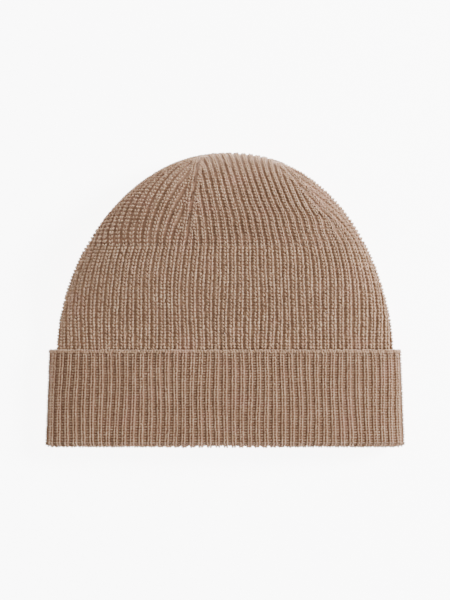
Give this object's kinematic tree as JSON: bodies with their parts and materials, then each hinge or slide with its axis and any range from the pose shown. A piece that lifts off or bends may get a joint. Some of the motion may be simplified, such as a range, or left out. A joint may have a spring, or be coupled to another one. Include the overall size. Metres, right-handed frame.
{
  "type": "knit beanie",
  "caption": "Ribbed knit beanie with a deep turn-up cuff and a crown narrowed in sections, lying flat on its back",
  "frame": {"origin": "middle of the underside, where the back of the hat rests on the surface", "axes": "+Z out of the front of the hat, +Y from the hem to the crown, +X to the right of a viewer who looks at the front with the crown away from them"},
  "size_m": [0.2366, 0.1957, 0.041],
  "materials": {
    "body_rib_knit": "soft tan melange rib knit, right side out",
    "cuff_rib_knit": "soft tan melange rib knit, reverse side out",
    "welt_knit": "smooth tubular knit edge",
    "seam_yarn": "twisted yarn in the knit's colour",
    "label_tape": "blank woven satin tape",
    "sewing_thread": "fine sewing thread"
  },
  "bodies": {
    "hat": {"body_front_panel": "body_rib_knit", "body_back_panel": "body_rib_knit", "crown_section_front": "body_rib_knit", "crown_section_left": "body_rib_knit", "crown_section_right": "body_rib_knit", "crown_section_back": "body_rib_knit", "cuff_front": "cuff_rib_knit", "cuff_back": "cuff_rib_knit", "hem_fold": "cuff_rib_knit", "cuff_welt": "welt_knit", "back_seam": "seam_yarn", "crown_closing_yarn": "seam_yarn", "yarn_tail": "seam_yarn", "cuff_tack": "seam_yarn"},
    "label": {"care_label": "label_tape", "care_label_thread": "sewing_thread"}
  },
  "joints": [
    {"name": "label_swing", "type": "hinge", "parent": "hat", "child": "label", "pos_m": [-0.01795, 0.011, 0.00325], "axis": [0, -1, 0], "range_deg": [0, 110]}
  ]
}
